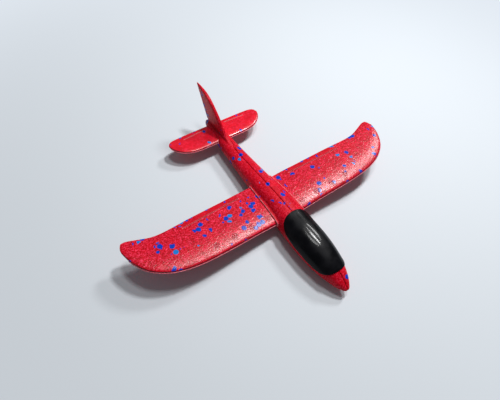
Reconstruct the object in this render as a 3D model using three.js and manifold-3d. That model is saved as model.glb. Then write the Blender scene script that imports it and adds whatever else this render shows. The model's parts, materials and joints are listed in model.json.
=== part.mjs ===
// Moulded foam hand-launch glider: two fuselage halves, one-piece wing and tailplane
// pushed through slots, trim flaps bounded by moulded grooves, and a clip-on canopy.
// Millimetres, +Z up, nose toward -Y, aircraft's left wing toward +X.
// Origin: centre of the bounding box at the flat of the belly.
import * as THREE from 'three';
import { mergeVertices } from 'three/addons/utils/BufferGeometryUtils.js';
import Module from 'manifold-3d';

const wasm = await Module();
wasm.setup();

// ---- driving dimensions ----
const HALF_SPAN = 175;
const NOSE_Y = -153;
const TAIL_Y = 133;
const WING_Z = 17;            // wing datum at the centre line, above the belly flat
const DIHEDRAL = 0.084;       // rise per mm of span, about 4.8 degrees
const TAIL_HALF_SPAN = 67;
const TAIL_Z = 18.8;
const TAIL_THICKNESS = 0.75;  // tailplane section relative to the wing section
const GAP = 0.3;              // clearance between neighbouring pieces
const SKIN_POWER = 2.2;       // superellipse power of the fuselage section
const LIP = 1.8;              // how far the slot lip stands round the wing root
const CANOPY_PROUD = 1.0;     // canopy skin above the foam line
const CANOPY_WALL = 1.5;
const FLAP_CLOSE = 0.158;     // slope of each groove wall, tan 9 degrees
const PEG_RADIUS = 2.3;
const PEG_Y = [-104, -76];
const PEG_FOOT_Z = 21;

// fuselage lines: [y, value]
const HALF_WIDTH = [
  [-153, 0], [-151.8, 2.9], [-149, 5.2], [-143, 8.8], [-131, 13], [-121, 15.7], [-99, 18.4],
  [-84, 18.8], [-69, 18.4], [-53, 17.6], [-36, 16.8], [-16, 15.8], [8, 14.3], [25, 13.2],
  [44, 12.1], [71, 10.6], [89, 9.6], [104, 8.4], [119, 6.6], [128, 4.6], [131.5, 2.8], [133, 0],
];
const SPINE = [
  [-153, 10.5], [-151.8, 12.8], [-149, 15.2], [-143, 19.2], [-134.8, 24], [-126, 28],
  [-116, 30], [-101, 31.8], [-86, 32.4], [-71, 32.2], [-58, 31.5], [-52, 31.2], [-32, 30.8],
  [-13, 30], [4, 28.6], [16, 27.4], [34, 25.8], [49, 24.9], [66, 24.5], [89, 24.8],
  [119, 24.2], [128, 21.6], [131.5, 18.8], [133, 15.6],
];
const BELLY = [
  [-153, 10.5], [-151.8, 9.2], [-149, 7.8], [-143, 6], [-134, 3.9], [-121, 1.4], [-104, -0.8],
  [-81, -1.9], [-16, -1.7], [8, 0.2], [25, 1.8], [49, 3.4], [71, 4.6], [89, 5.6], [104, 6.7],
  [119, 8.5], [128, 11.1], [131.5, 13], [133, 15.6],
];
const WIDEST_Z = [[-153, 10.5], [-131, 14.2], [-101, 16.2], [-16, 16.6], [133, 15.6]];

// planform lines of one side: [x, y]
const WING_TRAILING = [
  [0, 4], [28, 4], [44, 3], [70, 1.9], [93, 0.8], [107, -0.1], [122, -1.3], [131, -1.8],
  [138, -1.6], [144.5, -0.6], [150, 1.2], [160, 4.7], [167, 6.9], [171, 7.2], [173.3, 5.2],
  [174.6, 2], [175, 0],
];
const WING_LEADING = [
  [0, -54], [40, -54], [60, -54.4], [90, -54.9], [104, -54.6], [115, -53.7], [125, -52.3],
  [135, -49.9], [143.5, -46.6], [152.5, -41.4], [159.5, -35.9], [165, -29.3], [169, -22.5],
  [172.2, -15], [174.2, -8], [175, -4],
];
const TAIL_TRAILING = [
  [0, 119.8], [30, 119.8], [50, 119.5], [58, 119], [62.5, 117.8], [65.2, 116], [66.6, 113.6], [67, 112],
];
const TAIL_LEADING = [
  [0, 86], [25, 86], [32, 86.2], [38, 86.7], [44, 87.7], [50.5, 90.2], [55.5, 93.2],
  [60.3, 97.4], [64.2, 102.4], [66.3, 106.4], [67, 109],
];
// section of the wing: [fraction of chord, mm above the datum], leading edge round to it again
const SECTION = [
  [0, 0.2], [0.006, 1.2], [0.02, 1.95], [0.045, 2.55], [0.09, 3.05], [0.16, 3.5], [0.28, 3.85],
  [0.42, 3.75], [0.65, 2.7], [0.85, 1.6], [0.97, 0.95], [1, 0.55], [1, -0.45], [0.97, -0.7],
  [0.8, -1.2], [0.5, -1.75], [0.25, -1.9], [0.1, -1.75], [0.04, -1.45], [0.015, -1], [0.004, -0.4],
];
// fin edges: [height, y], and its section: [fraction of chord, mm to one side]
const FIN_LEADING = [
  [23.2, 62], [24.4, 68], [25.4, 75], [28, 82], [35.2, 90.2], [44, 99], [52.4, 109.4],
  [59.4, 119.8], [63.5, 130.6], [65.2, 141], [65.6, 147],
];
const FIN_TRAILING = [[23.2, 129.6], [62, 151.4], [64.6, 152.8], [65.6, 153]];
const FIN_SIDE = [[0, 0.6], [0.01, 1.6], [0.03, 2.3], [0.07, 2.7], [0.2, 2.8], [0.6, 2.2], [1, 0.9]];
const FIN_FOOT = 23.2;
const FIN_TOP = 65.6;
// lower edge of the canopy in the Y-Z plane, rear to front
const CANOPY_EDGE = [
  [-53, 35], [-54.7, 32.5], [-56.8, 29.9], [-60.7, 26.4], [-64.8, 23.3], [-69.5, 20.9],
  [-77, 19], [-86.5, 18.1], [-97, 17.8], [-108, 17], [-117, 16.7], [-123.5, 17.6],
  [-128.6, 19.9], [-132.4, 22.9], [-136, 28],
];
// flap grooves of one side: inboard and outboard ends [x, y], and height of the lower skin there
const AILERON = { from: [37, -3.2], to: [110, -7.7], skin: -1.05 };
const ELEVATOR = { from: [17, 114.4], to: [45, 112.8], skin: -0.75 };

const FOAM = { color: 0xc4142c, roughness: 0.55, metalness: 0 };
const GLOSS_BLACK = { color: 0x08080a, roughness: 0.12, metalness: 0 };

// ---- curves and solids ----

// value of a [position, value] line, smooth between its points without overshoot
function along(line, at) {
  const last = line.length - 1;
  if (at <= line[0][0]) return line[0][1];
  if (at >= line[last][0]) return line[last][1];
  let i = 0;
  while (line[i + 1][0] < at) i += 1;
  const slope = (k) => (line[k + 1][1] - line[k][1]) / (line[k + 1][0] - line[k][0]);
  const tangent = (k) => {
    if (k === 0) return slope(0);
    if (k === last) return slope(last - 1);
    const [a, b] = [slope(k - 1), slope(k)];
    return a * b <= 0 ? 0 : (2 * a * b) / (a + b);
  };
  const width = line[i + 1][0] - line[i][0];
  const t = (at - line[i][0]) / width;
  const [t2, t3] = [t * t, t * t * t];
  return (2 * t3 - 3 * t2 + 1) * line[i][1] + (t3 - 2 * t2 + t) * width * tangent(i)
    + (3 * t2 - 2 * t3) * line[i + 1][1] + (t3 - t2) * width * tangent(i + 1);
}

function reshape(geometry, move) {
  const position = geometry.getAttribute('position');
  const v = new THREE.Vector3();
  for (let i = 0; i < position.count; i += 1) {
    move(v.fromBufferAttribute(position, i));
    position.setXYZ(i, v.x, v.y, v.z);
  }
  return geometry;
}

// closed solid from a three.js geometry, turned outward if it comes out inside out
function solid(geometry) {
  const bare = geometry.clone();
  bare.deleteAttribute('normal');
  bare.deleteAttribute('uv');
  const merged = mergeVertices(bare, 1e-4);
  const p = merged.getAttribute('position').array;
  const raw = merged.index.array;
  const faces = [];
  let volume = 0;
  for (let i = 0; i < raw.length; i += 3) {
    const [a, b, c] = [raw[i], raw[i + 1], raw[i + 2]];
    if (a === b || b === c || a === c) continue;
    faces.push(a, b, c);
    const [A, B, C] = [a * 3, b * 3, c * 3];
    volume += p[A] * (p[B + 1] * p[C + 2] - p[B + 2] * p[C + 1])
      + p[A + 1] * (p[B + 2] * p[C] - p[B] * p[C + 2]) + p[A + 2] * (p[B] * p[C + 1] - p[B + 1] * p[C]);
  }
  if (volume < 0) for (let i = 0; i < faces.length; i += 3) [faces[i], faces[i + 1]] = [faces[i + 1], faces[i]];
  return new wasm.Manifold(new wasm.Mesh({
    numProp: 3, vertProperties: new Float32Array(p), triVerts: new Uint32Array(faces),
  }));
}

function outline(points) {
  return new THREE.Shape(points.map(([u, v]) => new THREE.Vector2(u, v)));
}

function prism(points, length) {
  return new THREE.ExtrudeGeometry(outline(points), { depth: length, bevelEnabled: false });
}

// prism of a side outline given as [y, z], from x = start through a width
function sidePrism(points, start, width) {
  const across = new THREE.Matrix4().makeBasis(
    new THREE.Vector3(0, 1, 0), new THREE.Vector3(0, 0, 1), new THREE.Vector3(1, 0, 0));
  return solid(prism(points, width).applyMatrix4(across).translate(start, 0, 0));
}

function mirrored(body) {
  return body.mirror([1, 0, 0]);
}

// fuselage skin, grown outward by a margin
function skin(margin) {
  const sphere = new THREE.SphereGeometry(1, 28, 52);
  return solid(reshape(sphere, (v) => {
    const y = NOSE_Y + (TAIL_Y - NOSE_Y) * (1 + v.y) / 2;
    const ring = Math.hypot(v.x, v.z);
    const middle = along(WIDEST_Z, y);
    if (ring < 1e-6) return v.set(0, y, middle);
    const bend = (c) => Math.sign(c) * Math.abs(c / ring) ** (2 / SKIN_POWER);
    const height = v.z > 0 ? along(SPINE, y) - middle + margin : middle - along(BELLY, y) + margin;
    const x = bend(v.x) * (along(HALF_WIDTH, y) + margin);
    return v.set(x, y, Math.max(middle + bend(v.z) * height, 0));
  }));
}

// lifting surface from tip to tip; grow widens it all round for a slot or a lip
function surface({ halfSpan, leading, trailing, steps, lift, thick }, grow = 0) {
  const loop = SECTION.map(([s, h]) => [s, h]);
  const bar = new THREE.ExtrudeGeometry(outline(loop), { depth: 2, steps: steps * 2, bevelEnabled: false });
  return solid(reshape(bar, (v) => {
    const t = v.z - 1;
    const x = halfSpan * (1 - (1 - Math.abs(t)) ** 1.7);
    const front = along(leading, x) - grow;
    const back = along(trailing, x) + grow;
    const near = Math.max(0, (x - halfSpan * 0.955) / (halfSpan * 0.045));
    const scale = thick * (1 - 0.22 * x / halfSpan) * Math.sqrt(1 - 0.88 * near * near);
    const z = v.y * scale + Math.sign(v.y) * grow;
    v.set(Math.sign(t) * x, front + v.x * (back - front), z + lift(x));
  }));
}

const WING = {
  halfSpan: HALF_SPAN, leading: WING_LEADING, trailing: WING_TRAILING, steps: 23, thick: 1,
  lift: (x) => WING_Z + DIHEDRAL * x,
};
const TAIL = {
  halfSpan: TAIL_HALF_SPAN, leading: TAIL_LEADING, trailing: TAIL_TRAILING, steps: 14,
  thick: TAIL_THICKNESS, lift: () => TAIL_Z,
};

// block behind a V groove on the left side; side -1 keeps clear of the wing, +1 of the flap
function behindGroove(groove, side, lift) {
  const run = new THREE.Vector3(groove.to[0] - groove.from[0], groove.to[1] - groove.from[1], 0);
  const length = run.length();
  const dir = run.normalize();
  const aft = new THREE.Vector3(-dir.y, dir.x, 0);
  const wall = (h) => side * (GAP / 2 + FLAP_CLOSE * Math.max(0, h - groove.skin));
  const low = groove.skin - 4;
  const high = groove.skin + 8;
  const points = [[wall(low), low], [wall(groove.skin), groove.skin], [wall(high), high], [25, high], [25, low]];
  const spare = side < 0 ? GAP / 2 : -GAP / 2;
  const block = prism(points, length + 2 * spare);
  block.translate(0, 0, -spare);
  block.applyMatrix4(new THREE.Matrix4().makeBasis(aft, new THREE.Vector3(0, 0, 1), dir));
  block.translate(groove.from[0], groove.from[1], 0);
  return solid(reshape(block, (v) => v.setZ(v.z + lift(v.x))));
}

// ---- pieces ----

function liftingPieces(plan, groove) {
  const whole = surface(plan);
  const cutter = behindGroove(groove, -1, plan.lift);
  const keeper = behindGroove(groove, 1, plan.lift);
  const flap = whole.intersect(keeper);
  return { panel: whole.subtract(cutter).subtract(mirrored(cutter)), left: flap, right: mirrored(flap) };
}

// the fin with its dorsal fairing, rounded in front and thinner toward the tip
function fin(grow) {
  const far = [...FIN_SIDE].reverse().map(([s, h]) => [s, -h]);
  const bar = new THREE.ExtrudeGeometry(outline([...FIN_SIDE, ...far]), { depth: 1, steps: 20, bevelEnabled: false });
  return solid(reshape(bar, (v) => {
    const z = FIN_FOOT + (FIN_TOP - FIN_FOOT) * (0.5 * v.z + 0.5 * Math.sin(v.z * Math.PI / 2));
    const front = along(FIN_LEADING, z) - grow;
    const back = along(FIN_TRAILING, z) + grow;
    const up = Math.min(1, Math.max(0, (z - 26) / 40));
    const near = Math.max(0, (z - 61) / (FIN_TOP - 61));
    const scale = (1 - 0.22 * up) * Math.sqrt(1 - 0.8 * near * near);
    v.set(v.y * scale + Math.sign(v.y) * grow, front + v.x * (back - front), z);
  }));
}

function canopyRegion(margin) {
  const lower = CANOPY_EDGE.map(([y, z]) => [y, z - margin]);
  lower[0][0] += margin;
  lower[lower.length - 1][0] -= margin;
  return sidePrism([...lower, [-140, 60], [-50, 60]], -40, 80);
}

function pegs(radius, foot) {
  return PEG_Y.map((y) => {
    const top = along(SPINE, y) + CANOPY_PROUD - CANOPY_WALL / 2;
    const peg = new THREE.CylinderGeometry(radius, radius, top - foot, 20);
    return solid(peg.rotateX(Math.PI / 2).translate(0, y, (top + foot) / 2));
  });
}

function canopy() {
  let shell = skin(CANOPY_PROUD).subtract(skin(CANOPY_PROUD - CANOPY_WALL)).intersect(canopyRegion(0));
  for (const peg of pegs(PEG_RADIUS, PEG_FOOT_Z)) shell = shell.add(peg);
  return shell;
}

function fuselageHalves() {
  const lipPlan = [[-19.2, -60], [19.2, -60], [15.6, 9], [-15.6, 9]];
  const lipBlock = solid(prism(lipPlan, 60));
  const recess = canopyRegion(GAP).subtract(skin(CANOPY_PROUD - CANOPY_WALL - GAP));
  let body = skin(0).add(surface(WING, LIP).intersect(lipBlock));
  body = body.subtract(surface(WING, GAP)).subtract(surface(TAIL, GAP)).subtract(recess);
  for (const socket of pegs(PEG_RADIUS + GAP, PEG_FOOT_Z - 1)) body = body.subtract(socket);
  const side = solid(new THREE.BoxGeometry(60, 400, 120).translate(30 + GAP / 2, 0, 30));
  const finRoom = fin(GAP).add(fin(GAP).translate([0, 0, -GAP]));
  return {
    left: body.intersect(side).subtract(finRoom),
    right: body.intersect(mirrored(side)).add(fin(0)),
  };
}

function node(name, body, look) {
  const mesh = body.getMesh();
  const geometry = new THREE.BufferGeometry();
  geometry.setAttribute('position', new THREE.BufferAttribute(mesh.vertProperties, 3));
  geometry.setIndex(new THREE.BufferAttribute(mesh.triVerts, 1));
  geometry.computeVertexNormals();
  const part = new THREE.Mesh(geometry, new THREE.MeshStandardMaterial(look));
  part.name = name;
  return part;
}

const glider = new THREE.Group();
const halves = fuselageHalves();
const wing = liftingPieces(WING, AILERON);
const tail = liftingPieces(TAIL, ELEVATOR);
glider.add(node('fuselage_left_half', halves.left, FOAM));
glider.add(node('fuselage_right_half_with_fin', halves.right, FOAM));
glider.add(node('main_wing', wing.panel, FOAM));
glider.add(node('left_aileron', wing.left, FOAM));
glider.add(node('right_aileron', wing.right, FOAM));
glider.add(node('tailplane', tail.panel, FOAM));
glider.add(node('left_elevator', tail.left, FOAM));
glider.add(node('right_elevator', tail.right, FOAM));
glider.add(node('canopy', canopy(), GLOSS_BLACK));

export default glider;
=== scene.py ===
import json
import math

import bpy
from mathutils import Matrix, Vector
from mathutils.kdtree import KDTree

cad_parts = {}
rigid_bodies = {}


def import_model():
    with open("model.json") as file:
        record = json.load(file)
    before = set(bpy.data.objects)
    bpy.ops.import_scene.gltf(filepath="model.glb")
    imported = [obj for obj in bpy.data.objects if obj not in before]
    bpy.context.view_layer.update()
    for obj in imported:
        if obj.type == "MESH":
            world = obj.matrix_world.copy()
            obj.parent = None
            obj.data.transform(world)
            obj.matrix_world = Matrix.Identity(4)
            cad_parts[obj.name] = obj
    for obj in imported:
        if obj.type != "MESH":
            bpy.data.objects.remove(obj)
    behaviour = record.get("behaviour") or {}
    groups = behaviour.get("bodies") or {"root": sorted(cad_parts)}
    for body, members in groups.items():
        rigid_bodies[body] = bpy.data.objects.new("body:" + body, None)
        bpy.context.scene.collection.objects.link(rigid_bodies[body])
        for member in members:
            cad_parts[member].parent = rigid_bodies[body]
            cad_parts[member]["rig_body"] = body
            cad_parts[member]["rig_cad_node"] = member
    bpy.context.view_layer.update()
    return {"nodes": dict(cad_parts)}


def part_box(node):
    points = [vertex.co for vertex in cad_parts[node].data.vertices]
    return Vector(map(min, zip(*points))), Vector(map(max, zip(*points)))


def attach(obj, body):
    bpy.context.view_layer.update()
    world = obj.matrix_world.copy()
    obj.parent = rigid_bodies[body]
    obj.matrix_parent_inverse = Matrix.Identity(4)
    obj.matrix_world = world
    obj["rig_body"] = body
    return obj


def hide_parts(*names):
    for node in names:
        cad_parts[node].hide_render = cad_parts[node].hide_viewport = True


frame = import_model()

# Moulded foam hand glider. Metres, +Z up, nose toward -Y, the glider's left wing toward +X.

weldDistance = 0.00002
smoothAngle = math.radians(50)


def deselectAll():
    if bpy.context.object and bpy.context.object.mode != "OBJECT":
        bpy.ops.object.mode_set(mode="OBJECT")
    bpy.ops.object.select_all(action="DESELECT")


def activate(piece):
    deselectAll()
    piece.select_set(True)
    bpy.context.view_layer.objects.active = piece


def copyOfNode(nodeName, pieceName):
    # own mesh, off the body, its loose triangles joined
    activate(frame["nodes"][nodeName])
    bpy.ops.object.duplicate()
    piece = bpy.context.object
    bpy.ops.object.parent_clear(type="CLEAR")
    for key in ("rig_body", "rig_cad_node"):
        if key in piece:
            del piece[key]
    piece.name = pieceName
    piece.data.name = pieceName
    piece.data.materials.clear()
    activate(piece)
    bpy.ops.object.mode_set(mode="EDIT")
    bpy.ops.mesh.select_all(action="SELECT")
    bpy.ops.mesh.remove_doubles(threshold=weldDistance)
    bpy.ops.mesh.customdata_custom_splitnormals_clear()
    bpy.ops.object.mode_set(mode="OBJECT")
    return piece


def applyModifier(piece, kind, **settings):
    activate(piece)
    modifier = piece.modifiers.new(kind.lower(), kind)
    for key, value in settings.items():
        setattr(modifier, key, value)
    bpy.ops.object.modifier_apply(modifier=modifier.name)


def softMoulding(piece, look):
    # even foam skin: voxels first, then rounded off
    applyModifier(piece, "REMESH", mode="VOXEL", voxel_size=look["voxel"], use_smooth_shade=True)
    applyModifier(piece, "SMOOTH", factor=look["softness"], iterations=look["rounding"])
    activate(piece)
    bpy.ops.object.shade_smooth()


def standFor(piece, body, slotName, *nodes):
    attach(piece, body)
    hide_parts(*nodes)


def newGroup(name, inputs, outputs):
    group = bpy.data.node_groups.new(name, "ShaderNodeTree")
    for label, kind, default in inputs:
        socket = group.interface.new_socket(name=label, in_out="INPUT", socket_type=kind)
        if default is not None:
            socket.default_value = default
    for label, kind in outputs:
        group.interface.new_socket(name=label, in_out="OUTPUT", socket_type=kind)
    return group


class Wires:
    # short way to place and join nodes
    def __init__(self, tree):
        self.tree = tree

    def node(self, kind, **settings):
        made = self.tree.nodes.new(kind)
        for key, value in settings.items():
            setattr(made, key, value)
        return made

    def put(self, socket, value):
        if isinstance(value, bpy.types.NodeSocket):
            self.tree.links.new(value, socket)
        elif value is not None:
            socket.default_value = value

    def math(self, operation, a, b=None, c=None, clamp=False):
        made = self.node("ShaderNodeMath", operation=operation, use_clamp=clamp)
        for socket, value in zip(made.inputs, (a, b, c)):
            self.put(socket, value)
        return made.outputs[0]

    def vector(self, operation, a, b=None, out=0):
        made = self.node("ShaderNodeVectorMath", operation=operation)
        self.put(made.inputs[0], a)
        if b is not None:
            self.put(made.inputs[1], b)
        return made.outputs[out]

    def blend(self, factor, a, b):
        made = self.node("ShaderNodeMix", data_type="RGBA")
        self.put(made.inputs["Factor"], factor)
        self.put(made.inputs[6], a)
        self.put(made.inputs[7], b)
        return made.outputs[2]

    def range(self, value, fromLow, fromHigh, toLow=0.0, toHigh=1.0, smooth=True):
        made = self.node("ShaderNodeMapRange", interpolation_type="SMOOTHSTEP" if smooth else "LINEAR")
        for index, item in enumerate((value, fromLow, fromHigh, toLow, toHigh)):
            self.put(made.inputs[index], item)
        return made.outputs[0]

    def noise(self, place, scale, detail=None, roughness=None):
        made = self.node("ShaderNodeTexNoise")
        self.put(made.inputs["Vector"], place)
        self.put(made.inputs["Scale"], scale)
        self.put(made.inputs["Detail"], detail)
        self.put(made.inputs["Roughness"], roughness)
        return made.outputs["Fac"]


beadTexture = {
    # noises: scale and detail, then the noise values that start and end each effect
    "fineScale": 640, "fineDetail": 3, "fineRoughness": 0.62,
    "paleGrainGlint": (0.47, 0.64), "hollow": (0.5, 0.34), "polish": (0.3, 0.7),
    "broadScale": 260, "broadDetail": 2, "patch": (0.35, 0.7), "patchStrength": (0.45, 1.0),
    "driftScale": 34, "driftDetail": 1, "drift": (0.40, 0.64), "driftStrength": (0.08, 3.4),
    "driftShift": (0, 0, 0.06),  # moves the drifts that the coloured beads lie in
    # single beads
    "uneven": 0.9, "tone": (0.86, 1.06),  # how irregularly they lie, and the darkest and lightest
    "border": 0.09, "wholeBead": 0.56,  # reach of the soft border and of the colour, in bead sizes
    "paler": 0.8, "palerColour": (0.01, 0.24, 0.62, 1),  # coloured beads that draw more are paler
    # under the pale specks coloured beads also turn paler, as a painted glint
    "palerLift": 0.7, "glintLift": 0.25,
    "dull": 1.25, "shiny": 0.8,  # spread of the polish
    "borderHeight": 0.3, "grainHeight": 0.7,
}


def beadGroup():
    # fused foam beads: fine mottling whose pale specks are partly the foam's grain and partly painted
    # glints, soft bead borders and a few coloured beads
    group = newGroup("fusedBeads", [
        ("Place", "NodeSocketVector", None),
        ("Deep", "NodeSocketColor", (0.4, 0.0, 0.006, 1)),
        ("Foam", "NodeSocketColor", (0.6, 0.0, 0.012, 1)),
        ("Grain And Glint", "NodeSocketColor", (0.9, 0.06, 0.13, 1)),
        ("Coloured Bead", "NodeSocketColor", (0.0, 0.03, 0.42, 1)),
        ("Bead Size", "NodeSocketFloat", 0.0054),
        ("Mottle", "NodeSocketFloat", 0.6),
        ("Polish", "NodeSocketFloat", 0.25),
        ("Coloured Share", "NodeSocketFloat", 0.03),
    ], [
        ("Color", "NodeSocketColor"), ("Roughness", "NodeSocketFloat"), ("Height", "NodeSocketFloat"),
    ])
    w = Wires(group)
    given = w.node("NodeGroupInput").outputs
    out = w.node("NodeGroupOutput").inputs
    scale = w.math("DIVIDE", 1.0, given["Bead Size"])
    cell = w.node("ShaderNodeTexVoronoi", feature="F1", voronoi_dimensions="3D")
    edge = w.node("ShaderNodeTexVoronoi", feature="DISTANCE_TO_EDGE", voronoi_dimensions="3D")
    for voronoi in (cell, edge):
        w.put(voronoi.inputs["Vector"], given["Place"])
        w.put(voronoi.inputs["Scale"], scale)
        voronoi.inputs["Randomness"].default_value = beadTexture["uneven"]
    lot = w.node("ShaderNodeSeparateColor")
    w.put(lot.inputs[0], cell.outputs["Color"])
    # coloured beads come in small drifts
    shifted = w.vector("ADD", given["Place"], beadTexture["driftShift"])
    drift = w.noise(shifted, beadTexture["driftScale"], beadTexture["driftDetail"])
    gathered = w.range(drift, *beadTexture["drift"], *beadTexture["driftStrength"])
    chance = w.math("MULTIPLY", given["Coloured Share"], gathered)
    whole = w.math("LESS_THAN", cell.outputs["Distance"], beadTexture["wholeBead"])
    coloured = w.math("MULTIPLY", w.math("LESS_THAN", lot.outputs[0], chance), whole)
    # fine mottling of the moulded skin: dark specks, and pale specks that are partly grain and partly
    # painted glints
    fine = w.noise(given["Place"], beadTexture["fineScale"], beadTexture["fineDetail"],
                   beadTexture["fineRoughness"])
    broad = w.noise(given["Place"], beadTexture["broadScale"], beadTexture["broadDetail"])
    patch = w.range(broad, *beadTexture["patch"], *beadTexture["patchStrength"])
    light = w.range(fine, *beadTexture["paleGrainGlint"])
    dark = w.range(fine, *beadTexture["hollow"])
    paleGrainGlint = w.math("MULTIPLY", light, given["Mottle"], clamp=True)
    grainGlintShare = w.math("MULTIPLY", paleGrainGlint, patch, clamp=True)
    hollow = w.math("MULTIPLY", dark, given["Mottle"], clamp=True)
    shade = w.blend(hollow, w.blend(grainGlintShare, given["Foam"], given["Grain And Glint"]), given["Deep"])
    # each bead is a little lighter or darker than the next
    tone = w.range(lot.outputs[1], 0.0, 1.0, *beadTexture["tone"], smooth=False)
    toned = w.node("ShaderNodeMix", data_type="RGBA", blend_type="MULTIPLY")
    toned.inputs["Factor"].default_value = 1.0
    w.put(toned.inputs[6], shade)
    w.put(toned.inputs[7], tone)
    border = w.range(edge.outputs["Distance"], 0.0, beadTexture["border"])
    paler = w.math("GREATER_THAN", lot.outputs[2], beadTexture["paler"])
    # a random paler tint, and a painted glint where the pale specks fall
    tintAndGlint = w.math("MAXIMUM", w.math("MULTIPLY", paler, beadTexture["palerLift"]),
                  w.math("MULTIPLY", paleGrainGlint, beadTexture["glintLift"]))
    blue = w.blend(tintAndGlint, given["Coloured Bead"], beadTexture["palerColour"])
    w.put(out["Color"], w.blend(coloured, toned.outputs[2], blue))
    dull = w.math("MULTIPLY", given["Polish"], beadTexture["dull"])
    shiny = w.math("MULTIPLY", given["Polish"], beadTexture["shiny"])
    w.put(out["Roughness"], w.range(fine, *beadTexture["polish"], dull, shiny))
    swell = w.math("MULTIPLY", border, beadTexture["borderHeight"])
    grain = w.math("MULTIPLY", fine, beadTexture["grainHeight"])
    w.put(out["Height"], w.math("ADD", swell, grain))
    return group


lineFade = (1.0, 0.55)  # in line widths from the middle of a moulded line


def creaseGroup():
    # one moulded line from Start to End, seen from above, the same on both sides of the glider; its mask
    # carries a painted highlight
    group = newGroup("mouldedLineHighlight", [
        ("Place", "NodeSocketVector", None), ("Start", "NodeSocketVector", None),
        ("End", "NodeSocketVector", None), ("Width", "NodeSocketFloat", 0.001),
    ], [("Mask", "NodeSocketFloat")])
    w = Wires(group)
    given = w.node("NodeGroupInput").outputs
    out = w.node("NodeGroupOutput").inputs
    split = w.node("ShaderNodeSeparateXYZ")
    w.put(split.inputs[0], given["Place"])
    flat = w.node("ShaderNodeCombineXYZ")
    w.put(flat.inputs[0], w.math("ABSOLUTE", split.outputs[0]))
    w.put(flat.inputs[1], split.outputs[1])
    run = w.vector("SUBTRACT", given["End"], given["Start"])
    off = w.vector("SUBTRACT", flat.outputs[0], given["Start"])
    length2 = w.vector("DOT_PRODUCT", run, run, out=1)
    share = w.math("DIVIDE", w.vector("DOT_PRODUCT", off, run, out=1), length2, clamp=True)
    scaled = w.node("ShaderNodeVectorMath", operation="SCALE")
    w.put(scaled.inputs[0], run)
    w.put(scaled.inputs[3], share)
    gap = w.vector("LENGTH", w.vector("SUBTRACT", off, scaled.outputs[0]), out=1)
    w.put(out["Mask"], w.range(w.math("DIVIDE", gap, given["Width"]), *lineFade))
    return group


partingShape = {
    # where each line fades in and out on the rounded edge, by which way the skin faces
    "forward": (0.25, 0.05),
    "stepBelow": (0.10, 0.22), "stepAbove": (0.87, 0.75),
    "ridgeBelow": (-0.6, -0.42), "ridgeAbove": (0.12, -0.02),
    "top": (0.8, 0.97),
}


def partingGroup():
    # the rounded front edge: painted shade as a dark step where the skins meet, and a painted highlight as a
    # thin pale ridge under it
    group = newGroup("partingShadeAndHighlight", [("Facing", "NodeSocketVector", None)],
                     [("Crease Shade", "NodeSocketFloat"), ("Ridge Highlight", "NodeSocketFloat"), ("Top", "NodeSocketFloat")])
    w = Wires(group)
    facing = w.node("ShaderNodeSeparateXYZ")
    w.put(facing.inputs[0], w.node("NodeGroupInput").outputs["Facing"])
    out = w.node("NodeGroupOutput").inputs
    forward = w.range(facing.outputs[1], *partingShape["forward"])
    rise = facing.outputs[2]
    for label, below, above in (("Crease Shade", "stepBelow", "stepAbove"), ("Ridge Highlight", "ridgeBelow", "ridgeAbove")):
        band = w.math("MULTIPLY", w.range(rise, *partingShape[below]), w.range(rise, *partingShape[above]))
        w.put(out[label], w.math("MULTIPLY", forward, band))
    w.put(out["Top"], w.range(rise, *partingShape["top"]))
    return group


ventShape = {
    "rings": ((10, 0.0030), (5, 0.0014)),  # dots in each ring, and its radius
    "dot": 0.00045, "dotEdge": 0.0008,
    "above": 0.019,  # only the upper skin shows them
}


def ventGroup():
    # round core vents: two rings of dots, one vent every Pitch along the front of the wing
    group = newGroup("coreVents", [
        ("Place", "NodeSocketVector", None), ("First", "NodeSocketFloat", 0.024),
        ("Pitch", "NodeSocketFloat", 0.022), ("Last", "NodeSocketFloat", 0.096),
        ("Along", "NodeSocketFloat", -0.0445),
    ], [("Mask", "NodeSocketFloat")])
    w = Wires(group)
    given = w.node("NodeGroupInput").outputs
    out = w.node("NodeGroupOutput").inputs
    split = w.node("ShaderNodeSeparateXYZ")
    w.put(split.inputs[0], given["Place"])
    across = w.math("ABSOLUTE", split.outputs[0])
    half = w.math("MULTIPLY", given["Pitch"], 0.5)
    steps = w.math("ADD", w.math("SUBTRACT", across, given["First"]), half)
    u = w.math("SUBTRACT", w.math("FLOORED_MODULO", steps, given["Pitch"]), half)
    v = w.math("SUBTRACT", split.outputs[1], given["Along"])
    radius = w.math("SQRT", w.math("ADD", w.math("MULTIPLY", u, u), w.math("MULTIPLY", v, v)))
    turn = w.math("DIVIDE", w.math("ARCTAN2", v, u), 2 * math.pi)
    marks = []
    for count, ring in ventShape["rings"]:
        share = w.math("FRACT", w.math("ADD", w.math("MULTIPLY", turn, count), 0.25))
        arc = w.math("MULTIPLY", w.math("SUBTRACT", share, 0.5), 2 * math.pi * ring / count)
        off = w.math("SUBTRACT", radius, ring)
        gap = w.math("SQRT", w.math("ADD", w.math("MULTIPLY", arc, arc), w.math("MULTIPLY", off, off)))
        marks.append(w.range(gap, ventShape["dotEdge"], ventShape["dot"]))
    dots = w.math("MAXIMUM", marks[0], marks[1])
    band = w.math("MULTIPLY", w.math("GREATER_THAN", steps, 0.0), w.math("LESS_THAN", across, given["Last"]))
    upper = w.math("GREATER_THAN", split.outputs[2], ventShape["above"])
    w.put(out["Mask"], w.math("MULTIPLY", dots, w.math("MULTIPLY", band, upper)))
    return group


fusedBeads = beadGroup()
mouldedLineHighlight = creaseGroup()
partingShadeAndHighlight = partingGroup()
coreVents = ventGroup()


def shaded(w, amount, mask, colour, over):
    # a mask at some strength lays one colour over another
    return w.blend(w.math("MULTIPLY", mask, amount), colour, over)


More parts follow.
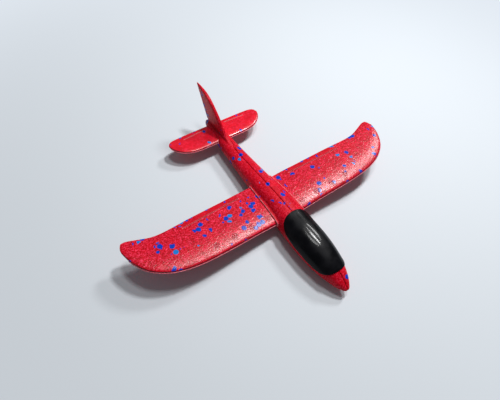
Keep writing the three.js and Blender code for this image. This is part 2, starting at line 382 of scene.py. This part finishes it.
def foamMaterial(name, look):
    material = bpy.data.materials.new(name)
    material.use_nodes = True
    material.node_tree.nodes.clear()
    w = Wires(material.node_tree)
    place = w.node("ShaderNodeTexCoord").outputs["Object"]
    beads = w.node("ShaderNodeGroup", node_tree=fusedBeads)
    w.put(beads.inputs["Place"], place)
    beads.inputs["Mottle"].default_value = look["mottle"]
    beads.inputs["Coloured Share"].default_value = look["colouredShare"]
    beads.inputs["Foam"].default_value = look["foam"]
    beads.inputs["Grain And Glint"].default_value = look["grainAndGlint"]
    beads.inputs["Deep"].default_value = look["deep"]
    beads.inputs["Polish"].default_value = look["polish"]
    colour = beads.outputs["Color"]
    # painted highlight along the lit edges of the moulded lines
    for start, end, width in look["lines"]:
        line = w.node("ShaderNodeGroup", node_tree=mouldedLineHighlight)
        w.put(line.inputs["Place"], place)
        line.inputs["Start"].default_value = start
        line.inputs["End"].default_value = end
        line.inputs["Width"].default_value = width
        colour = shaded(w, look["lineStrength"], line.outputs["Mask"], colour, look["lineHighlightColour"])
    height = beads.outputs["Height"]
    if look["edgeShadeAndHighlight"]:
        edge = w.node("ShaderNodeGroup", node_tree=partingShadeAndHighlight)
        w.put(edge.inputs["Facing"], w.node("ShaderNodeTexCoord").outputs["Normal"])
        # the mottle, with its painted glints, is kept to skin that faces up
        w.put(beads.inputs["Mottle"], w.math("MULTIPLY", edge.outputs["Top"], look["mottle"]))
        # painted shade along the step, then a painted highlight along the ridge
        colour = shaded(w, look["edgeShadeAndHighlight"], edge.outputs["Crease Shade"], colour, look["creaseShadeColour"])
        colour = shaded(w, look["edgeShadeAndHighlight"], edge.outputs["Ridge Highlight"], colour, look["lineHighlightColour"])
    if look["vents"]:
        vents = w.node("ShaderNodeGroup", node_tree=coreVents)
        w.put(vents.inputs["Place"], place)
        colour = shaded(w, look["vents"], vents.outputs["Mask"], colour, look["ventColour"])
        height = w.math("SUBTRACT", height, w.math("MULTIPLY", vents.outputs["Mask"], look["ventDepth"]))
    bump = w.node("ShaderNodeBump")
    bump.inputs["Strength"].default_value = look["bump"]
    bump.inputs["Distance"].default_value = look["bumpDepth"]
    w.put(bump.inputs["Height"], height)
    shader = w.node("ShaderNodeBsdfPrincipled")
    w.put(shader.inputs["Base Color"], colour)
    w.put(shader.inputs["Roughness"], beads.outputs["Roughness"])
    w.put(shader.inputs["Normal"], bump.outputs[0])
    shader.inputs["Coat Weight"].default_value = look["coat"]
    shader.inputs["Coat Roughness"].default_value = look["coatRoughness"]
    shader.inputs["Specular IOR Level"].default_value = look["specular"]
    w.put(w.node("ShaderNodeOutputMaterial").inputs["Surface"], shader.outputs[0])
    return material


wingLook = {
    "deep": (0.29, 0.0, 0.004, 1),
    "foam": (0.60, 0.0, 0.010, 1),
    # colour of the pale specks: partly the foam's grain, partly painted glints
    "grainAndGlint": (0.97, 0.06, 0.14, 1),
    "polish": 0.25,
    # pale colour of the painted highlights on the lines and the front-edge ridge
    "lineHighlightColour": (0.95, 0.36, 0.4, 1),
    "mottle": 0.95,
    "colouredShare": 0.085,
    "bump": 0.45,
    "bumpDepth": 0.0004,
    # strength of the painted shade and painted highlight on the front edge
    "edgeShadeAndHighlight": 0.92,
    # dark colour of the painted shade in the front-edge step
    "creaseShadeColour": (0.12, 0.0, 0.006, 1),
    "vents": 0.75,
    "ventColour": (0.12, 0.0, 0.01, 1),
    "ventDepth": 0.8,
    "coat": 0.0,
    "coatRoughness": 0.32,
    "specular": 0.3,
    "lineStrength": 0.75,
    # painted highlight along the lit edge of the hinge groove
    "lines": [((0.037, -0.0032, 0), (0.110, -0.0077, 0), 0.0008)],  # start, end, width
}
# the tail's and elevators' foam red is painted lighter than the wing's, as painted light: the tail stands in
# more light
tailLook = dict(wingLook, vents=0, colouredShare=0.06, foam=(0.76, 0.0, 0.014, 1), mottle=0.55,
                bump=0.35, coat=0.5, coatRoughness=0.18,
                # painted highlight along the lit edge of the elevator groove
                lines=[((0.017, 0.1144, 0), (0.045, 0.1128, 0), 0.0009)])
bodyLook = dict(wingLook, mottle=0.5, colouredShare=0.045, polish=0.42, specular=0.1,
                edgeShadeAndHighlight=0, vents=0,
                # painted highlight along the lit edge of the wing-root lip
                lines=[((0.0191, -0.056, 0), (0.0158, 0.006, 0), 0.0009)])
flapLook = dict(wingLook, mottle=0.3, edgeShadeAndHighlight=0, vents=0)
tailFlapLook = dict(tailLook, mottle=0.25, edgeShadeAndHighlight=0)
# the flash ridge is coloured pale pink: a painted highlight on its lit top
ridgeHighlightLook = dict(flapLook, foam=(0.95, 0.2, 0.26, 1), mottle=0.1, colouredShare=0.0, lines=[])

wingFoam = foamMaterial("wingBeadFoam", wingLook)
flapFoam = foamMaterial("flapBeadFoam", flapLook)
tailFoam = foamMaterial("tailBeadFoam", tailLook)
tailFlapFoam = foamMaterial("tailFlapBeadFoam", tailFlapLook)
bodyFoam = foamMaterial("bodyBeadFoam", bodyLook)
ridgeHighlightFoam = foamMaterial("ridgeHighlightBeadFoam", ridgeHighlightLook)
print("foam materials ready")


fuselageShape = {
    "voxel": 0.00055,
    "softness": 0.5, "rounding": 8,  # strength and rounds of smoothing
}


def buildFuselage():
    for nodeName, pieceName in (("fuselage_left_half", "fuselageFoamLeft"),
                                ("fuselage_right_half_with_fin", "fuselageFoamRight")):
        half = copyOfNode(nodeName, pieceName)
        softMoulding(half, fuselageShape)
        half.data.materials.append(bodyFoam)
        standFor(half, "airframe", "red_bead_foam", nodeName)
        print(pieceName, len(half.data.polygons), "faces")


buildFuselage()


panelShape = {
    "joinAngle": 40, "joinSkew": 60,  # how far two triangles may differ and still make a quad
    "sharpAngle": 30, "crease": 1.0, "levels": 2,
    "flapReach": 0.0001,  # how much farther each end of a flap goes
}


def crispPanel(piece, shape):
    activate(piece)
    bpy.ops.object.mode_set(mode="EDIT")
    bpy.ops.mesh.select_all(action="SELECT")
    bpy.ops.mesh.tris_convert_to_quads(face_threshold=math.radians(shape["joinAngle"]),
                                       shape_threshold=math.radians(shape["joinSkew"]))
    bpy.ops.mesh.select_all(action="DESELECT")
    bpy.ops.mesh.select_mode(type="EDGE")
    bpy.ops.mesh.edges_select_sharp(sharpness=math.radians(shape["sharpAngle"]))
    bpy.ops.transform.edge_crease(value=shape["crease"])
    bpy.ops.object.mode_set(mode="OBJECT")
    applyModifier(piece, "SUBSURF", levels=shape["levels"], render_levels=shape["levels"])
    activate(piece)
    bpy.ops.object.shade_smooth_by_angle(angle=smoothAngle)


def closeEnds(flap, nodeName):
    # a flap is one moulding with its panel, so its ends all but touch
    low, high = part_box(nodeName)
    span = high.x - low.x
    activate(flap)
    bpy.ops.object.mode_set(mode="EDIT")
    bpy.ops.mesh.select_all(action="SELECT")
    bpy.ops.transform.resize(value=(1 + 2 * panelShape["flapReach"] / span, 1, 1),
                             center_override=(low + high) / 2)
    bpy.ops.object.mode_set(mode="OBJECT")


ridgeShape = {
    "radius": 0.00046, "roundness": 2, "drop": 0.0004,
    "wingEnd": 0.1735, "wingBehind": -0.012,  # how far out and how far back it follows the front edge
    "tailEnd": 0.0664, "tailBehind": 0.109,
}


def partingRidge(panel, pieceName, body, end, behind):
    # thin flash left where the mould halves met, all along the front edge, coloured pale as a painted
    # highlight
    activate(panel)
    bpy.ops.object.duplicate()
    ridge = bpy.context.object
    ridge.name = pieceName
    stations = {}
    for vertex in ridge.data.vertices:
        if abs(vertex.co.x) < end and vertex.co.y < behind:
            key = round(vertex.co.x, 5)
            if key not in stations or vertex.co.y < ridge.data.vertices[stations[key]].co.y:
                stations[key] = vertex.index
    front = set(stations.values())
    activate(ridge)
    bpy.ops.object.mode_set(mode="EDIT")
    bpy.ops.mesh.select_mode(type="VERT")
    bpy.ops.mesh.select_all(action="DESELECT")
    bpy.ops.object.mode_set(mode="OBJECT")
    for vertex in ridge.data.vertices:
        vertex.select = vertex.index in front
    bpy.ops.object.mode_set(mode="EDIT")
    bpy.ops.mesh.select_all(action="INVERT")
    bpy.ops.mesh.delete(type="VERT")
    bpy.ops.mesh.select_all(action="SELECT")
    bpy.ops.transform.translate(value=(0, 0, -ridgeShape["drop"]))
    bpy.ops.object.mode_set(mode="OBJECT")
    bpy.ops.object.convert(target="CURVE")
    ridge = bpy.context.object
    ridge.data.bevel_depth = ridgeShape["radius"]
    ridge.data.bevel_resolution = ridgeShape["roundness"]
    ridge.data.use_fill_caps = True
    bpy.ops.object.convert(target="MESH")
    ridge = bpy.context.object
    bpy.ops.object.shade_smooth()
    ridge.data.materials.clear()
    ridge.data.materials.append(ridgeHighlightFoam)
    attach(ridge, body)
    print(pieceName, len(ridge.data.polygons), "faces")


def buildPanels():
    for nodeName, pieceName, body, material in (
            ("main_wing", "wingFoamPanel", "airframe", wingFoam),
            ("left_aileron", "aileronFoamLeft", "left_aileron", flapFoam),
            ("right_aileron", "aileronFoamRight", "right_aileron", flapFoam),
            ("tailplane", "tailFoamPanel", "tailplane", tailFoam),
            ("left_elevator", "elevatorFoamLeft", "left_elevator", tailFlapFoam),
            ("right_elevator", "elevatorFoamRight", "right_elevator", tailFlapFoam)):
        panel = copyOfNode(nodeName, pieceName)
        if nodeName.endswith(("aileron", "elevator")):
            closeEnds(panel, nodeName)
        if nodeName == "main_wing":
            partingRidge(panel, "wingPartingRidge", body, ridgeShape["wingEnd"], ridgeShape["wingBehind"])
        if nodeName == "tailplane":
            partingRidge(panel, "tailPartingRidge", body, ridgeShape["tailEnd"], ridgeShape["tailBehind"])
        crispPanel(panel, panelShape)
        panel.data.materials.append(material)
        standFor(panel, body, "red_bead_foam", nodeName)
        print(pieceName, len(panel.data.polygons), "faces")


buildPanels()


canopyLook = {
    "joinAngle": 40, "joinSkew": 60,
    "sharpAngle": 35, "crease": 0.9, "levels": 2,
    "relax": 110, "relaxBy": 0.6,  # rounds and strength of smoothing
    "rim": 0.0008, "rimBlend": 0.003,  # the edge that it leaves alone, and the width it comes in over
    "colour": (0.002, 0.002, 0.003, 1), "hazeColour": (0.006, 0.006, 0.008, 1),
    "hazeScale": 60, "hazeDetail": 4, "haze": (0.4, 0.75), "dulling": (0.3, 0.75),
    "roughness": (0.225, 0.51),  # where it is clear and where it is hazy
    "specular": 0.08,
    "coat": 0.12,
    "coatRoughness": 0.09,
    "ripple": 0.04, "rippleDepth": 0.0003, "rippleScale": 90,
}


def glossMaterial(look):
    material = bpy.data.materials.new("glossBlackShell")
    material.use_nodes = True
    material.node_tree.nodes.clear()
    w = Wires(material.node_tree)
    place = w.node("ShaderNodeTexCoord").outputs["Object"]
    haze = w.noise(place, look["hazeScale"], look["hazeDetail"])
    ripple = w.noise(place, look["rippleScale"])
    bump = w.node("ShaderNodeBump")
    bump.inputs["Strength"].default_value = look["ripple"]
    bump.inputs["Distance"].default_value = look["rippleDepth"]
    w.put(bump.inputs["Height"], ripple)
    shader = w.node("ShaderNodeBsdfPrincipled")
    hazy = w.range(haze, *look["haze"])
    w.put(shader.inputs["Base Color"], w.blend(hazy, look["colour"], look["hazeColour"]))
    w.put(shader.inputs["Roughness"], w.range(haze, *look["dulling"], *look["roughness"]))
    shader.inputs["Specular IOR Level"].default_value = look["specular"]
    shader.inputs["Coat Weight"].default_value = look["coat"]
    shader.inputs["Coat Roughness"].default_value = look["coatRoughness"]
    w.put(shader.inputs["Normal"], bump.outputs[0])
    w.put(w.node("ShaderNodeOutputMaterial").inputs["Surface"], shader.outputs[0])
    return material


def evenSkin(shell, look):
    # relax the moulded skin but hold its edges
    activate(shell)
    bpy.ops.object.mode_set(mode="EDIT")
    bpy.ops.mesh.select_mode(type="EDGE")
    bpy.ops.mesh.select_all(action="DESELECT")
    bpy.ops.mesh.edges_select_sharp(sharpness=math.radians(look["sharpAngle"]))
    bpy.ops.object.mode_set(mode="OBJECT")
    edges = [v.co.copy() for v in shell.data.vertices if v.select]
    tree = KDTree(len(edges))
    for index, point in enumerate(edges):
        tree.insert(point, index)
    tree.balance()
    group = shell.vertex_groups.new(name="skin")
    for vertex in shell.data.vertices:
        away = tree.find(vertex.co)[2]
        weight = min(1.0, max(0.0, (away - look["rim"]) / look["rimBlend"]))
        if weight > 0:
            group.add([vertex.index], weight, "REPLACE")
    applyModifier(shell, "SMOOTH", factor=look["relaxBy"], iterations=look["relax"],
                  vertex_group="skin")
    shell.vertex_groups.clear()


def buildCanopy():
    shell = copyOfNode("canopy", "canopyShell")
    crispPanel(shell, canopyLook)
    evenSkin(shell, canopyLook)
    shell.data.materials.append(glossMaterial(canopyLook))
    standFor(shell, "canopy", "gloss_black_shell", "canopy")
    print("canopy", len(shell.data.polygons), "faces")


buildCanopy()


floorLook = {
    "size": 8.0, "below": 0.0001,
    "colour": (0.62, 0.66, 0.7, 1), "roughness": 0.75,
    "evenFrom": 0.18, "evenTo": 0.8,  # where it starts and ends fading into the backdrop
}
studio = {
    "ambientColour": (0.9, 0.95, 1.0, 1), "ambient": 0.15,
    "backdropColour": (0.80, 0.86, 0.93, 1), "backdrop": 0.97,
}


def buildFloor():
    deselectAll()
    bpy.ops.mesh.primitive_plane_add(size=floorLook["size"], location=(0, 0, -floorLook["below"]))
    floor = bpy.context.object
    floor.name = "floor"
    material = bpy.data.materials.new("paleFloor")
    material.use_nodes = True
    shader = material.node_tree.nodes["Principled BSDF"]
    shader.inputs["Base Color"].default_value = floorLook["colour"]
    shader.inputs["Roughness"].default_value = floorLook["roughness"]
    # far off it runs into the backdrop, and from below it lets the underside of the glider show
    w = Wires(material.node_tree)
    away = w.vector("LENGTH", w.node("ShaderNodeTexCoord").outputs["Object"], out=1)
    sweep = w.node("ShaderNodeEmission")
    sweep.inputs["Color"].default_value = studio["backdropColour"]
    sweep.inputs["Strength"].default_value = studio["backdrop"]
    even = w.node("ShaderNodeMixShader")
    far = w.range(away, floorLook["evenFrom"], floorLook["evenTo"])
    seen = w.node("ShaderNodeLightPath").outputs["Is Camera Ray"]
    w.put(even.inputs[0], w.math("MULTIPLY", far, seen))
    w.put(even.inputs[1], shader.outputs[0])
    w.put(even.inputs[2], sweep.outputs[0])
    oneWay = w.node("ShaderNodeMixShader")
    w.put(oneWay.inputs[0], w.node("ShaderNodeNewGeometry").outputs["Backfacing"])
    w.put(oneWay.inputs[1], even.outputs[0])
    w.put(oneWay.inputs[2], w.node("ShaderNodeBsdfTransparent").outputs[0])
    w.put(material.node_tree.nodes["Material Output"].inputs["Surface"], oneWay.outputs[0])
    floor.data.materials.append(material)


lights = {
    "key": {"towards": (0.70, 0.20, 0.70), "distance": 1.4, "size": 0.2, "power": 7},
    "overhead": {"towards": (0.42, 0.12, 0.90), "distance": 1.3, "size": 0.15, "power": 10},
    "tipLight": {"towards": (0.12, 0.10, 0.98), "distance": 1.3, "size": 0.2, "power": 4},
}


def buildLights():
    for name, look in lights.items():
        data = bpy.data.lights.new(name, "AREA")
        data.shape = "SQUARE"
        data.size = look["size"]
        data.energy = look["power"]
        lamp = bpy.data.objects.new(name, data)
        bpy.context.scene.collection.objects.link(lamp)
        way = Vector(look["towards"]).normalized()
        lamp.location = way * look["distance"]
        lamp.rotation_mode = "QUATERNION"
        lamp.rotation_quaternion = way.to_track_quat("Z", "Y")
    world = bpy.data.worlds.new("studio")
    bpy.context.scene.world = world
    world.use_nodes = True
    w = Wires(world.node_tree)
    background = world.node_tree.nodes["Background"]
    # a pale backdrop to the eye, a dimmer room to the surfaces
    seen = w.node("ShaderNodeLightPath").outputs["Is Camera Ray"]
    strength = w.range(seen, 0.0, 1.0, studio["ambient"], studio["backdrop"], smooth=False)
    w.put(background.inputs[0], w.blend(seen, studio["ambientColour"], studio["backdropColour"]))
    w.put(background.inputs[1], strength)


cameraLook = {
    "azimuth": -38.27, "elevation": 55.19, "roll": 5.09,
    "distance": 0.40973, "aim": (-0.02467, -0.00962, 0.017), "lens": 25.32, "sensor": 36, "clip": 0.01,
}


def buildCamera():
    a, e, r = (math.radians(cameraLook[k]) for k in ("azimuth", "elevation", "roll"))
    right = Vector((math.cos(a), math.sin(a), 0))
    back = Vector((math.sin(a) * math.cos(e), -math.cos(a) * math.cos(e), math.sin(e)))
    up = back.cross(right)
    rightTurned = right * math.cos(r) + up * math.sin(r)
    upTurned = up * math.cos(r) - right * math.sin(r)
    data = bpy.data.cameras.new("camera")
    data.sensor_width = cameraLook["sensor"]
    data.lens = cameraLook["lens"]
    data.clip_start = cameraLook["clip"]
    camera = bpy.data.objects.new("camera", data)
    bpy.context.scene.collection.objects.link(camera)
    place = Vector(cameraLook["aim"]) + back * cameraLook["distance"]
    turned = Matrix((rightTurned, upTurned, back)).transposed().to_4x4()
    camera.matrix_world = Matrix.Translation(place) @ turned
    bpy.context.scene.camera = camera


buildFloor()
buildLights()
buildCamera()
bpy.context.scene.view_settings.view_transform = "Standard"
print("floor, lights and camera ready")
